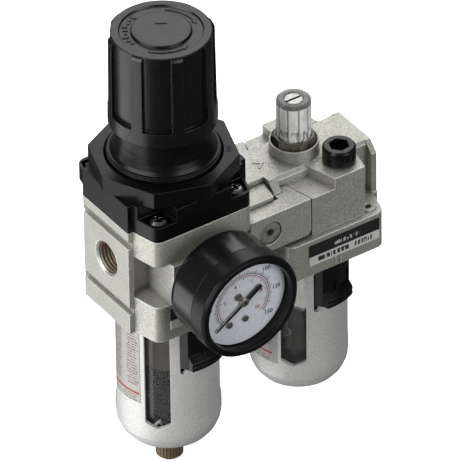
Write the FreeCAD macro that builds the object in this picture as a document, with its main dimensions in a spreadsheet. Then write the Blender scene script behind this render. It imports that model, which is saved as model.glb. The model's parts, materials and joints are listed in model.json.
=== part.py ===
"""Modular air set: filter-regulator with gauge, spacer and clamps, lubricator.

Millimetres. Origin at the centre of the inlet port's mouth, +X along the flow, +Z up,
gauge facing -Y. Every sub-part is its own labelled object and its own STEP file.
"""
import FreeCAD, Part
import os
import math

os.makedirs("parts", exist_ok=True)

V = FreeCAD.Vector
UP = V(0, 0, 1)
doc = FreeCAD.newDocument("air_set")
sheet = doc.addObject("Spreadsheet::Sheet", "Sizes")

# ---------------------------------------------------------------- sizes
SIZES = {
    # units along the flow
    "unit_width": 53.0, "spacer_width": 7.0, "axis_x": 26.5, "lub_axis_x": 86.5,
    # plan outline shared by both units
    "plate_proud": 2.3, "plate_half": 15.0, "corner_in": 5.15, "corner_half": 26.7,
    "corner_round": 4.0, "pocket_x": 10.8, "pocket_y": 11.9, "back_half": 23.8, "pad_half": 29.1,
    # regulator body heights
    "body_bottom": -26.0, "body_top": 20.4, "shelf_z": -10.0, "band_z": 9.0,
    # ports
    "port_crest_r": 5.9, "port_root_r": 6.7, "port_mouth_r": 7.35, "port_depth": 15.5,
    "thread_pitch": 1.411, "thread_count": 7, "channel_r": 3.5, "channel_offset": 13.0,
    # inside the regulator body
    "valve_chamber_r": 8.5, "seat_z": 8.0, "seat_r": 5.0, "upper_chamber_z": 12.0,
    "upper_chamber_r": 17.5, "rim_r": 20.6, "rim_deep": 1.0, "guard_bore_r": 20.6,
    "bore_top": -12.0, "gauge_port_r": 4.6, "gauge_port_deep": 13.0, "gauge_z": 0.3,
    "screw_in": 9.1, "screw_half": 21.6, "screw_back": 20.6, "screw_hole_r": 1.7,
    # bonnet, nut, knob
    "bonnet_top": 32.6, "neck_r": 21.5, "nut_circle_r": 28.5, "nut_top": 39.2,
    "lip_z": 41.1, "tower_r": 15.6, "tower_top": 82.0, "spring_room_r": 13.0,
    "knob_bottom": 53.9, "knob_bottom_r": 20.6, "knob_top": 93.9, "knob_top_r": 20.1,
    "knob_bore_r": 16.4, "knob_roof": 89.0, "panel_floor_r": 18.95, "panel_phase": 5.5,
    "shaft_r": 4.0, "running_fit": 0.08,
    # gauge
    "gauge_r": 21.6, "case_r": 21.1, "gauge_front": -56.6, "case_back": -33.4,
    "bezel_back": -48.1, "dial_y": -51.4, "window_r": 18.3,
    # filter bowl side
    "guard_r": 20.2, "guard_wall": 1.6, "guard_foot": -92.3, "guard_round": 12.0, "bowl_gap": 0.7,
    "bowl_wall": 2.4, "drain_r": 5.3, "drain_foot": -104.0,
    # lubricator
    "lub_guard_r": 19.1, "lub_guard_foot": -90.7, "deck_z": 14.0, "lub_half": 11.1,
    "lub_plate_half": 14.5, "collar_top": -8.0, "collar_bottom": -24.0, "ledge_z": 9.3,
    "plate_chamfer": 4.2, "lub_bore_top": -10.5, "air_bore_r": 5.5,
    "dome_x": 85.3, "dome_r": 6.66, "dome_top": 38.3, "boss_r": 9.5, "boss_top": 19.4,
    "plug_x": 95.5, "plug_y": -15.0, "plug_r": 6.4, "plug_hole_r": 4.6,
    # clamps
    "clamp_left": 48.8, "clamp_top": 9.7, "clamp_bottom": -6.8, "clamp_front": 24.2, "clamp_back": 20.6,
    "clamp_screw_x": 57.8, "clamp_screw_z": 1.4, "lug_top": 11.6,
}
for row, (word, value) in enumerate(SIZES.items(), start=1):
    sheet.set("A%d" % row, word)
    sheet.set("B%d" % row, str(value))
    sheet.setAlias("B%d" % row, word)
doc.recompute()


def size(word):
    return float(sheet.get(word))


def bind(obj, prop, formula):
    """Tie a property to sheet words written between square brackets."""
    obj.setExpression(prop, formula.replace("[", "Sizes.").replace("]", ""))


AX = size("axis_x")
LX = size("lub_axis_x")
# degrees by which each bowl's button is turned from -Y towards +X, and from button to window
FILTER_FACING = 6.0
LUBRICATOR_FACING = 11.2
WINDOW_OFFSET = 51.4


# ---------------------------------------------------------------- helpers
def new_body(label, place=V(0, 0, 0)):
    body = doc.addObject("PartDesign::Body", label)
    body.Label = label
    body.Placement.Base = place
    return body


def origin_plane(body, role):
    return next(f for f in body.Origin.OriginFeatures if f.Role == role)


def new_sketch(body, role, offset=0.0):
    sketch = body.newObject("Sketcher::SketchObject", body.Name + "_sketch")
    sketch.AttachmentSupport = [(origin_plane(body, role), "")]
    sketch.MapMode = "FlatFace"
    sketch.AttachmentOffset = FreeCAD.Placement(V(0, 0, offset), FreeCAD.Rotation())
    return sketch


def draw_polygon(sketch, points):
    corners = [V(a, b, 0) for a, b in points]
    for start, end in zip(corners, corners[1:] + corners[:1]):
        sketch.addGeometry(Part.LineSegment(start, end), False)


def draw_circle(sketch, a, b, radius):
    sketch.addGeometry(Part.Circle(V(a, b, 0), UP, radius), False)


def pad(body, sketch, length, formula=None):
    feature = body.newObject("PartDesign::Pad", body.Name + "_pad")
    feature.Profile = sketch
    feature.Length = length
    if formula:
        bind(feature, "Length", formula)
    sketch.Visibility = False
    doc.recompute()
    return feature


def cut(body, sketch, depth, reverse=False, formula=None):
    """Pocket that must remove material."""
    before = body.Shape.Volume
    feature = body.newObject("PartDesign::Pocket", body.Name + "_cut")
    feature.Profile = sketch
    feature.Length = depth
    feature.Reversed = reverse
    if formula:
        bind(feature, "Length", formula)
    sketch.Visibility = False
    doc.recompute()
    if body.Shape.Volume > before - 1e-3:
        raise RuntimeError("nothing cut from " + body.Label)
    return feature


def turn(body, sketch, axis="V_Axis", remove=False):
    kind = "PartDesign::Groove" if remove else "PartDesign::Revolution"
    feature = body.newObject(kind, body.Name + "_turn")
    feature.Profile = sketch
    feature.ReferenceAxis = (sketch, [axis])
    feature.Angle = 360.0
    sketch.Visibility = False
    doc.recompute()
    return feature


def round_edges(body, radius, wanted, chamfer=False):
    """Fillet or chamfer the edges whose middle point satisfies the test."""
    names = []
    for number, edge in enumerate(body.Tip.Shape.Edges, start=1):
        middle = edge.valueAt((edge.FirstParameter + edge.LastParameter) / 2)
        if wanted(middle, edge):
            names.append("Edge%d" % number)
    if not names:
        raise RuntimeError("no edge found on " + body.Label)
    kind = "PartDesign::Chamfer" if chamfer else "PartDesign::Fillet"
    feature = body.newObject(kind, body.Name + "_edge")
    feature.Base = (body.Tip if body.Tip is not feature else feature.BaseFeature, names)
    if chamfer:
        feature.Size = radius
    else:
        feature.Radius = radius
    doc.recompute()
    return feature


def upright(edge):
    return edge.Curve.TypeId == "Part::GeomLine" and abs(edge.tangentAt(edge.FirstParameter).z) > 0.99


def turned_body(label, profile, place):
    """Body of revolution about its own Z axis from (radius, height) corners."""
    body = new_body(label, place)
    sketch = new_sketch(body, "XZ_Plane")
    draw_polygon(sketch, profile)
    turn(body, sketch)
    return body


def from_shape(label, shape):
    """Free-form piece that no sketch feature makes, such as a coil."""
    piece = doc.addObject("Part::Feature", label)
    piece.Label = label
    piece.Shape = shape
    return piece


def cylinder(radius, bottom, top, x=0.0, y=0.0):
    return Part.makeCylinder(radius, top - bottom, V(x, y, bottom))


def box(x0, x1, y0, y1, z0, z1):
    return Part.makeBox(x1 - x0, y1 - y0, z1 - z0, V(x0, y0, z0))


def prism(points, bottom, top):
    corners = [V(x, y, bottom) for x, y in points]
    face = Part.Face(Part.makePolygon(corners + corners[:1]))
    return face.extrude(V(0, 0, top - bottom))


def regular(sides, circle_r, x, y, phase):
    turns = [math.radians(phase + 360.0 * k / sides) for k in range(sides)]
    return [(x + circle_r * math.cos(t), y + circle_r * math.sin(t)) for t in turns]


def ring_piece(label, outer, inner, bottom, top, x, y=0.0):
    """Plain ring made of two bound cylinders."""
    whole = doc.addObject("Part::Cylinder", label + "_outer")
    hole = doc.addObject("Part::Cylinder", label + "_inner")
    for part_shape, radius in ((whole, outer), (hole, inner)):
        part_shape.Radius = radius
        part_shape.Height = top - bottom
        part_shape.Placement.Base = V(x, y, bottom)
    ring = doc.addObject("Part::Cut", label)
    ring.Label = label
    ring.Base = whole
    ring.Tool = hole
    doc.recompute()
    return ring


def coil(mean_r, wire_r, bottom, top, turns, x=0.0, y=0.0):
    """Round-wire compression spring standing between two heights."""
    low = bottom + wire_r
    rise = top - wire_r - low
    path = Part.makeHelix(rise / turns, rise, mean_r)
    wire = Part.Wire(path.Edges)
    start = wire.Edges[0].valueAt(wire.Edges[0].FirstParameter)
    along = wire.Edges[0].tangentAt(wire.Edges[0].FirstParameter)
    ring = Part.Wire([Part.makeCircle(wire_r, start, along)])
    spring = wire.makePipeShell([ring], True, True)
    spring.translate(V(x, y, low))
    return spring


def sector(outer, inner, bottom, top, start_deg, end_deg, x):
    """Slice of a tube between two angles about a unit's axis."""
    shell = Part.makeCylinder(outer, top - bottom, V(x, 0, bottom), UP, end_deg - start_deg)
    core = Part.makeCylinder(inner, top - bottom + 2, V(x, 0, bottom - 1))
    shell.rotate(V(x, 0, 0), UP, start_deg)
    return shell.cut(core)


def unit_outline(left, back_word="corner_half"):
    """Plan of one unit: port plates at both ends, four corner blocks between."""
    width = size("unit_width")
    proud = size("plate_proud")
    half = size("plate_half")
    inset = size("corner_in")
    sides = []
    for side, deep in ((-1, size("corner_half")), (1, size(back_word))):
        quarter = [(0, side * half), (proud, side * half), (inset, side * deep)]
        sides.append(quarter + [(width - a, b) for a, b in reversed(quarter)])
    front, back = sides
    return [(left + a, b) for a, b in front + list(reversed(back))]


def outer_corner(point, left):
    inset = size("corner_in")
    near_x = min(abs(point.x - left - inset), abs(point.x - left - size("unit_width") + inset))
    near_y = min(abs(abs(point.y) - size("corner_half")), abs(point.y - size("back_half")))
    return near_x < 0.3 and near_y < 0.3


def mouth_profile(sketch, mouth, inward):
    """Chamfer of the port's mouth, drawn beside the port axis."""
    crest = size("port_crest_r")
    mouth_r = size("port_mouth_r")
    chamfer = mouth_r - crest
    draw_polygon(sketch, [(mouth - inward, 0.0), (mouth - inward, mouth_r), (mouth, mouth_r),
                          (mouth + inward * chamfer, crest), (mouth + inward * chamfer, 0.0)])


def cut_port(body, mouth, inward, depth):
    """Threaded port along X: bore, chamfered mouth, thread grooves with crest lands."""
    crest = size("port_crest_r")
    pitch = size("thread_pitch")
    groove_wide = 0.46
    bore = new_sketch(body, "YZ_Plane", mouth)
    draw_circle(bore, 0.0, 0.0, crest)
    cut(body, bore, depth, reverse=(inward > 0))
    chamfer = new_sketch(body, "XZ_Plane")
    mouth_profile(chamfer, mouth, inward)
    turn(body, chamfer, "H_Axis", remove=True)
    for number in range(int(size("thread_count"))):
        start = mouth + inward * (2.2 + pitch * number)
        groove = new_sketch(body, "XZ_Plane")
        draw_polygon(groove, [(start, crest - 0.3), (start, crest),
                              (start + inward * groove_wide / 2, size("port_root_r")),
                              (start + inward * groove_wide, crest),
                              (start + inward * groove_wide, crest - 0.3)])
        turn(body, groove, "H_Axis", remove=True)


# ---------------------------------------------------------------- regulator body
def make_regulator_body():
    body = new_body("regulator_body")
    bottom = size("body_bottom")
    top = size("body_top")
    plan = new_sketch(body, "XY_Plane", bottom)
    draw_polygon(plan, unit_outline(0.0, "back_half"))
    pad(body, plan, top - bottom, "[body_top] - [body_bottom]")
    round_edges(body, size("corner_round"), lambda p, e: upright(e) and outer_corner(p, 0.0))
    # open pockets at the four corners, between the top band and the lower block
    waist = new_sketch(body, "XY_Plane", size("band_z"))
    width = size("unit_width")
    for near, far in ((size("plate_proud"), size("pocket_x")),
                      (width - size("pocket_x"), width - size("plate_proud"))):
        for side in (-1, 1):
            y0 = side * size("pocket_y")
            y1 = side * (size("corner_half") + 1)
            draw_polygon(waist, [(near, y0), (far, y0), (far, y1), (near, y1)])
    cut(body, waist, size("band_z") - size("shelf_z"), formula="[band_z] - [shelf_z]")
    # raised pad behind the gauge
    boss = new_sketch(body, "XY_Plane", size("shelf_z"))
    draw_polygon(boss, [(size("pocket_x"), -20.0), (size("pocket_x"), -size("pad_half")),
                        (width - size("pocket_x"), -size("pad_half")), (width - size("pocket_x"), -20.0)])
    pad(body, boss, size("band_z") - size("shelf_z"))
    # cross grooves on the port plates
    for upper, lower in ((16.7, 12.9), (-14.0, -17.4)):
        groove = new_sketch(body, "XZ_Plane", size("plate_half") + 1)
        for wall, inward in ((0.0, 1), (width, -1)):
            draw_polygon(groove, [(wall - inward, upper + 0.6), (wall - inward, lower),
                                  (wall + inward * 1.9, lower), (wall + inward * 1.9, upper - 1.2)])
        cut(body, groove, 2 * size("plate_half") + 2, reverse=False)
    # chambers about the unit's axis
    for radius, start, depth in ((size("guard_bore_r"), bottom, size("bore_top") - bottom),
                                 (size("valve_chamber_r"), size("bore_top"),
                                  size("seat_z") - size("bore_top")),
                                 (size("seat_r"), size("seat_z") - 1, top - size("seat_z") + 1)):
        hole = new_sketch(body, "XY_Plane", start)
        draw_circle(hole, AX, 0.0, radius)
        cut(body, hole, depth, reverse=True)
    for radius, depth in ((size("rim_r"), size("rim_deep")),
                          (size("upper_chamber_r"), top - size("upper_chamber_z"))):
        hole = new_sketch(body, "XY_Plane", top)
        draw_circle(hole, AX, 0.0, radius)
        cut(body, hole, depth)
    # ports and the channels that join them to the chambers
    cut_port(body, 0.0, 1, size("port_depth"))
    cut_port(body, width, -1, size("port_depth"))
    inlet = new_sketch(body, "XY_Plane", size("bore_top"))
    draw_circle(inlet, AX - size("channel_offset"), 0.0, size("channel_r"))
    cut(body, inlet, 1 - size("bore_top"), reverse=True)
    outlet = new_sketch(body, "XY_Plane", size("upper_chamber_z"))
    draw_circle(outlet, AX + size("channel_offset"), 0.0, size("channel_r"))
    cut(body, outlet, size("upper_chamber_z") + 1)
    # gauge port in the front face with its pressure drilling
    gauge = new_sketch(body, "XZ_Plane", size("pad_half"))
    draw_circle(gauge, AX, size("gauge_z"), size("gauge_port_r"))
    cut(body, gauge, size("gauge_port_deep") + size("pad_half") - size("corner_half"))
    drilling = new_sketch(body, "XY_Plane", size("upper_chamber_z"))
    draw_circle(drilling, AX, -15.6, 1.3)
    cut(body, drilling, size("upper_chamber_z"))
    # bonnet screw holes
    screws = new_sketch(body, "XY_Plane", top)
    for x in (size("screw_in"), width - size("screw_in")):
        for y in (-size("screw_half"), size("screw_back")):
            draw_circle(screws, x, y, size("screw_hole_r"))
    cut(body, screws, 9.0)
    return body


# ---------------------------------------------------------------- bonnet, nut, screws
def make_bonnet():
    body = new_body("bonnet", V(AX, 0, 0))
    low = size("body_top")
    top = size("bonnet_top")
    pocket_floor = 27.0
    plan = new_sketch(body, "XY_Plane", low)
    draw_polygon(plan, unit_outline(-AX))
    pad(body, plan, top - low, "[bonnet_top] - [body_top]")
    round_edges(body, size("corner_round"), lambda p, e: upright(e) and outer_corner(p, -AX))
    shoulder = new_sketch(body, "XY_Plane", top)
    pits = new_sketch(body, "XY_Plane", pocket_floor)
    for x_side in (-1, 1):
        for y_side in (-1, 1):
            x0, x1 = x_side * 12.3, x_side * 28.0
            y0, y1 = y_side * 17.2, y_side * 29.0
            draw_polygon(shoulder, [(x0, y0), (x1, y0), (x1, y1), (x0, y1)])
            draw_polygon(pits, [(x_side * 12.6, y_side * 17.4), (x_side * 22.9, y_side * 17.4),
                                (x_side * 20.4, y_side * 25.3), (x_side * 12.6, y_side * 25.3)])
    cut(body, shoulder, top - pocket_floor)
    cut(body, pits, 2.2)
    # neck with thread rings, flared collar under the knob, tower inside the knob
    r = size("neck_r")
    outline = [(0, top - 4), (r, top - 4), (r, top + 1.0)]
    z = top + 1.0
    while z + 1.5 < size("nut_top") + 0.3:
        outline += [(r - 0.7, z + 0.75), (r, z + 1.5)]
        z += 1.5
    lip = size("lip_z")
    outline += [(r, lip - 1.0), (r - 0.6, lip - 0.8), (r - 0.3, lip - 0.5), (r - 0.4, lip)]
    outline += [(r - 1.3, lip), (r - 2.1, lip + 1.3), (r - 2.8, lip + 3.5), (r - 3.1, lip + 6.4)]
    outline += [(r - 3.0, 53.4), (size("tower_r"), 53.4), (size("tower_r"), size("tower_top"))]
    outline += [(0, size("tower_top"))]
    neck = new_sketch(body, "XZ_Plane")
    draw_polygon(neck, outline)
    turn(body, neck)
    # spring room from below, shaft hole above, and two keyways for the spring nut
    hollow = new_sketch(body, "XZ_Plane")
    room = size("spring_room_r")
    shaft = size("shaft_r") + size("running_fit")
    roof = size("tower_top") - 3.8
    draw_polygon(hollow, [(0, low - 1), (17.0, low - 1), (17.0, 25.0), (room, 28.0), (room, roof),
                          (shaft, roof), (shaft, size("tower_top") + 1), (0, size("tower_top") + 1)])
    turn(body, hollow, remove=True)
    keyway = new_sketch(body, "XY_Plane", 48.0)
    draw_polygon(keyway, [(-13.9, -1.9), (13.9, -1.9), (13.9, 1.9), (-13.9, 1.9)])
    cut(body, keyway, 24.0, reverse=True)
    screws = new_sketch(body, "XY_Plane", low)
    for x in (-AX + size("screw_in"), AX - size("screw_in")):
        for y in (-size("screw_half"), size("screw_back")):
            draw_circle(screws, x, y, size("screw_hole_r"))
    cut(body, screws, 5.0, reverse=True)
    return body


def pan_head_screw(x, y, seat, reach):
    """Pan-head screw with a cross recess."""
    head = Part.makeCylinder(3.2, 1.7, V(x, y, seat))
    crown = Part.makeCone(3.2, 2.1, 0.9, V(x, y, seat + 1.7))
    shank = Part.makeCylinder(1.6, seat - reach, V(x, y, reach))
    slots = box(x - 1.8, x + 1.8, y - 0.4, y + 0.4, seat + 1.5, seat + 3)
    slots = slots.fuse(box(x - 0.4, x + 0.4, y - 1.8, y + 1.8, seat + 1.5, seat + 3))
    return head.fuse([crown, shank]).cut(slots)


def make_bonnet_screws():
    spots = [(x, y) for x in (size("screw_in"), size("unit_width") - size("screw_in"))
             for y in (-size("screw_half"), size("screw_back"))]
    return from_shape("bonnet_screws",
                      Part.makeCompound([pan_head_screw(x, y, 24.8, 12.5) for x, y in spots]))


def make_panel_nut():
    body = new_body("panel_nut", V(AX, 0, 0))
    low = size("bonnet_top")
    high = size("nut_top")
    plan = new_sketch(body, "XY_Plane", low)
    draw_polygon(plan, regular(8, size("nut_circle_r"), 0, 0, 3.6))
    draw_circle(plan, 0, 0, size("neck_r") + 0.05)
    pad(body, plan, high - low, "[nut_top] - [bonnet_top]")
    # sloped seat round the bore, and small grip ticks on the top face
    seat = new_sketch(body, "XZ_Plane")
    draw_polygon(seat, [(size("neck_r"), high - 1.0), (size("neck_r") + 1.1, high + 0.1),
                        (size("neck_r"), high + 0.1)])
    turn(body, seat, remove=True)
    ticks = new_sketch(body, "XY_Plane", high)
    for turn_deg in (-38.0, -35.0, -32.0):
        t = math.radians(turn_deg)
        a, b = math.cos(t), math.sin(t)
        spots = [(r * a - half * b, r * b + half * a)
                 for r, half in ((23.4, 0.2), (25.0, 0.2), (25.0, -0.2), (23.4, -0.2))]
        draw_polygon(ticks, spots)
    cut(body, ticks, 0.3)
    return body


# ---------------------------------------------------------------- knob and its drive
def arc_band(inner, outer, start_deg, end_deg, steps=6):
    """Corners of a flat band between two radii and two angles."""
    turns = [math.radians(start_deg + (end_deg - start_deg) * k / steps) for k in range(steps + 1)]
    rim = [(outer * math.cos(t), outer * math.sin(t)) for t in turns]
    return rim + [(inner * math.cos(t), inner * math.sin(t)) for t in reversed(turns)]


def turned_bar(away, half_long, half_thick, angle):
    """Corners of a small bar lying across a direction, some way out from the centre."""
    t = math.radians(angle)
    a, b = math.cos(t), math.sin(t)
    corners = [(away - half_thick, -half_long), (away + half_thick, -half_long),
               (away + half_thick, half_long), (away - half_thick, half_long)]
    return [(u * a - v * b, u * b + v * a) for u, v in corners]


def make_knob():
    low = size("knob_bottom")
    high = size("knob_top")
    r_low = size("knob_bottom_r")
    r_high = size("knob_top_r")
    roof = size("knob_roof")
    bore = size("knob_bore_r")
    hub_foot = 83.2
    face = high - 0.7
    body = turned_body("knob", [
        (bore, low), (r_low - 0.5, low), (r_low, low + 0.6), (r_high, high - 1.5),
        (r_high - 0.6, high - 0.6), (r_high - 1.5, high), (15.9, high), (15.5, face), (11.5, face),
        (11.2, high + 0.2), (10.9, high + 0.4), (0, high + 0.4), (0, hub_foot), (6.6, hub_foot),
        (6.6, roof), (bore, roof)], V(AX, 0, 0))
    # eight recessed grip panels
    panels = new_sketch(body, "XY_Plane", high - 0.25)
    for number in range(8):
        middle = size("panel_phase") + 45.0 * number
        draw_polygon(panels, arc_band(size("panel_floor_r"), 23.0, middle - 16.0, middle + 16.0, 8))
    cut(body, panels, high - 0.25 - (low + 6.6))
    # hexagonal socket that rides on the adjusting screw
    socket = new_sketch(body, "XY_Plane", hub_foot)
    draw_polygon(socket, regular(6, 4.16, 0, 0, 0))
    cut(body, socket, 5.4, reverse=True)
    # turn arrows, a row of short bars and a lock mark raised on the top
    arrows = new_sketch(body, "XY_Plane", face)
    for start, end, head in ((-6.0, 50.0, -1), (216.0, 272.0, 1)):
        draw_polygon(arrows, arc_band(13.3, 14.1, start, end))
        tail = math.radians(start if head < 0 else end)
        tip = math.radians(start - 10.0 if head < 0 else end + 10.0)
        corners = ((12.5, tail), (13.7, tip), (14.9, tail))
        draw_polygon(arrows, [(r * math.cos(a), r * math.sin(a)) for r, a in corners])
    for number in range(9):
        middle = 106.0 + 9.5 * number
        inner, outer = 12.4 + 0.5 * (number % 2), 14.9 - 0.6 * (number % 3)
        draw_polygon(arrows, arc_band(inner, outer, middle - 2.0, middle + 2.0, 2))
    pad(body, arrows, 0.35)
    mark = new_sketch(body, "XY_Plane", high + 0.4)
    draw_polygon(mark, turned_bar(3.2, 2.2, 0.3, 56.0))
    cut(body, mark, 0.4)
    return body


def make_adjusting_screw():
    """Shaft with a thrust flange under the tower roof and a hexagon above it."""
    shaft = size("shaft_r")
    roof = size("tower_top") - 3.8
    body = turned_body("adjusting_screw", [
        (0, 50.0), (shaft - 0.8, 50.0), (shaft, 50.8), (shaft, roof - 2.2), (7.0, roof - 2.2),
        (7.0, roof - 0.15), (shaft, roof - 0.15), (shaft, 82.3), (0, 82.3)], V(AX, 0, 0))
    hexagon = new_sketch(body, "XY_Plane", 82.3)
    draw_polygon(hexagon, regular(6, 4.0, 0, 0, 0))
    pad(body, hexagon, 5.6)
    return body


def make_spring_nut():
    body = new_body("spring_nut", V(AX, 0, 0))
    plan = new_sketch(body, "XY_Plane", 60.2)
    draw_circle(plan, 0, 0, 12.4)
    draw_circle(plan, 0, 0, size("shaft_r") + size("running_fit"))
    pad(body, plan, 4.0)
    keys = new_sketch(body, "XY_Plane", 60.2)
    for side in (-1, 1):
        draw_polygon(keys, [(side * 12.0, -1.5), (side * 13.4, -1.5), (side * 13.4, 1.5), (side * 12.0, 1.5)])
    pad(body, keys, 4.0)
    return body


def make_main_spring():
    return from_shape("main_spring", coil(8.4, 1.2, 22.6, 60.0, 6.5, AX))


# ---------------------------------------------------------------- diaphragm and valve
def make_diaphragm():
    return turned_body("diaphragm", [
        (20.4, 19.5), (20.4, 20.3), (16.4, 20.3), (15.6, 21.6), (14.2, 22.2), (12.9, 21.6), (12.2, 20.3),
        (2.7, 20.3), (2.7, 19.5), (12.7, 19.5), (13.4, 20.9), (14.2, 21.3), (15.0, 20.9), (15.8, 19.5)],
        V(AX, 0, 0))


def make_diaphragm_plate():
    return turned_body("diaphragm_plate", [
        (0, 18.4), (2.4, 18.4), (2.4, 20.4), (11.4, 20.4), (11.4, 22.4), (6.6, 22.4), (6.4, 24.4),
        (0, 24.4)], V(AX, 0, 0))


def make_valve_poppet():
    return turned_body("valve_poppet", [
        (0, -9.0), (2.5, -9.0), (2.5, 4.6), (6.6, 4.6), (6.6, 7.2), (6.0, 7.85), (4.6, 7.85), (1.6, 9.4),
        (1.6, 18.3), (0, 18.3)], V(AX, 0, 0))


def make_valve_spring():
    return from_shape("valve_spring", coil(4.6, 0.45, -3.5, 4.55, 5.0, AX))


def make_valve_guide():
    """Guide bush with air passages; its rod carries the filter parts."""
    body = turned_body("valve_guide", [
        (0, -64.5), (2.4, -64.5), (2.4, -13.5), (8.3, -13.5), (8.3, -3.6), (2.58, -3.6), (2.58, -11.0),
        (0, -11.0)], V(AX, 0, 0))
    passages = new_sketch(body, "XY_Plane", -13.5)
    for x, y in regular(6, 5.5, 0, 0, 30):
        draw_circle(passages, x, y, 1.4)
    cut(body, passages, 10.0, reverse=True)
    return body


# ---------------------------------------------------------------- filter
def make_deflector():
    body = turned_body("deflector", [
        (4.4, -22.0), (14.6, -22.6), (14.6, -21.4), (9.8, -20.8), (9.8, -13.9), (8.6, -13.9), (8.6, -20.8),
        (4.4, -20.8)], V(AX, 0, 0))
    vanes = new_sketch(body, "XY_Plane", -21.3)
    for number in range(12):
        t = math.radians(30.0 * number)
        lean = math.radians(30.0 * number + 16.0)
        root = (9.6 * math.cos(t), 9.6 * math.sin(t))
        tip = (14.4 * math.cos(lean), 14.4 * math.sin(lean))
        across = math.radians(30.0 * number + 98.0)
        thick = (0.8 * math.cos(across), 0.8 * math.sin(across))
        draw_polygon(vanes, [root, tip, (tip[0] + thick[0], tip[1] + thick[1]),
                             (root[0] + thick[0], root[1] + thick[1])])
    pad(body, vanes, 6.0)
    return body


def make_filter_element():
    return ring_piece("filter_element", 9.4, 5.6, -57.0, -22.8, AX)


def make_baffle():
    return turned_body("baffle", [
        (2.5, -61.8), (5.0, -61.8), (5.0, -60.2), (12.8, -61.4), (13.0, -60.4), (9.9, -57.2), (2.5, -57.2)],
        V(AX, 0, 0))


def cup_profile(outer, wall, top, foot, round_r, hole):
    """Cup with a bent lower rim; the inner face follows at wall thickness."""
    inner = outer - wall
    steps = [math.radians(a) for a in (0, 15, 30, 45, 60, 75, 90)]
    middle = foot + round_r
    outside = [(outer - round_r + round_r * math.cos(t), middle - round_r * math.sin(t)) for t in steps]
    small = round_r - wall
    inside = [(outer - round_r + small * math.cos(t), middle - small * math.sin(t)) for t in reversed(steps)]
    return [(inner, top), (outer, top)] + outside + [(hole, foot), (hole, foot + wall)] + inside


def make_bowl(label, x, guard_r, guard_foot, top, hole):
    """Clear bowl that follows the inside of its guard at a small gap."""
    inset = size("guard_wall") + size("bowl_gap")
    profile = cup_profile(guard_r - inset, size("bowl_wall"), top, guard_foot + inset,
                          size("guard_round") - inset, hole)
    return turned_body(label, profile, V(x, 0, 0))


def window_polygon(half, top, shoulder, tip):
    return [(-half, top), (-half, shoulder), (0, tip), (half, shoulder), (half, top)]


def turned_sketch(body, angle):
    """Upright sketch plane through the axis, turned about Z."""
    sketch = new_sketch(body, "XZ_Plane")
    sketch.AttachmentOffset = FreeCAD.Placement(V(0, 0, 0), FreeCAD.Rotation(V(0, 1, 0), angle))
    return sketch


def make_guard(label, x, outer, top, foot, hole, collar, facing, tip):
    """Metal bowl guard: four pointed windows, a cut-out and two slots behind the button."""
    body = turned_body(label, cup_profile(outer, size("guard_wall"), top, foot, size("guard_round"), hole),
                       V(x, 0, 0))
    for side in (-1, 1):
        sketch = turned_sketch(body, facing + side * WINDOW_OFFSET)
        draw_polygon(sketch, window_polygon(4.95, collar - 3.0, tip + 2.3, tip))
        windows = body.newObject("PartDesign::Pocket", body.Name + "_windows")
        windows.Profile = sketch
        windows.Midplane = True
        windows.Length = 2 * outer + 4
        sketch.Visibility = False
        doc.recompute()
    front = turned_sketch(body, facing)
    top, low = collar - 6.0, collar - 24.6
    draw_polygon(front, [(-4.3, top), (4.3, top), (4.3, low), (-4.3, low)])
    for side in (-1, 1):
        a, b = side * 6.4, side * 8.8
        draw_polygon(front, [(a, collar - 8.0), (b, collar - 8.0), (b, collar - 25.0),
                             (b - side * 0.7, collar - 25.8), (a + side * 0.7, collar - 25.8),
                             (a, collar - 25.0)])
    cut(body, front, outer + 2, reverse=True)
    return body


def slab(inner, outer, wide, narrow):
    """Plan of a curved slab about the axis, facing -Y; its ends lean in from wide to narrow degrees."""
    def row(radius, half):
        angles = [math.radians(-90 - half + 2 * half * n / 12) for n in range(13)]
        return [(radius * math.cos(a), radius * math.sin(a)) for a in angles]
    return row(inner, wide) + list(reversed(row(outer, narrow)))


def make_button(label, x, guard_r, collar, facing):
    """Lock button: curved plate on the guard's front with a bulged lower lip."""
    body = new_body(label, V(x, 0, 0))
    body.Placement.Rotation = FreeCAD.Rotation(V(0, 0, 1), facing)
    top = collar - 0.4
    foot = collar - 22.3
    back = guard_r + 0.3
    lip_high = 5.4
    plan = new_sketch(body, "XY_Plane", foot)
    draw_polygon(plan, slab(back, back + 2.0, 26.0, 19.6))
    pad(body, plan, top - foot)
    lip = new_sketch(body, "XY_Plane", foot)
    draw_polygon(lip, slab(back + 1.0, back + 4.0, 20.5, 17.0))
    pad(body, lip, lip_high)
    round_edges(body, 1.9, lambda p, e: abs(p.z - foot - lip_high) < 0.05
                and math.hypot(p.x, p.y) > back + 3.7, chamfer=True)
    rib = new_sketch(body, "XY_Plane", foot + 1.5)
    draw_polygon(rib, slab(back + 3.5, back + 6.0, 30.0, 30.0))
    cut(body, rib, 0.7, reverse=True)
    # shallow thumb panels with a downward arrow between them
    panels = new_sketch(body, "XY_Plane", foot + lip_high)
    for start, end in ((-17.0, -3.4), (3.4, 17.0)):
        draw_polygon(panels, arc_band(back + 1.4, back + 5.0, -90 + start, -90 + end, 5))
    cut(body, panels, 7.6, reverse=True)
    # tongue that holds the button in the guard's cut-out
    tongue = new_sketch(body, "XY_Plane", collar - 16.6)
    inner, outer = -guard_r + 1.3, -back - 0.3
    draw_polygon(tongue, [(-3.9, inner), (3.9, inner), (3.9, outer), (-3.9, outer)])
    pad(body, tongue, 10.0)
    return body


def make_button_spring(label, x, guard_r, collar, facing):
    away = guard_r - 0.75
    turned = math.radians(facing)
    return from_shape(label, coil(0.45, 0.15, collar - 24.5, collar - 16.7, 7.0,
                                  x + away * math.sin(turned), -away * math.cos(turned)))


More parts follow.
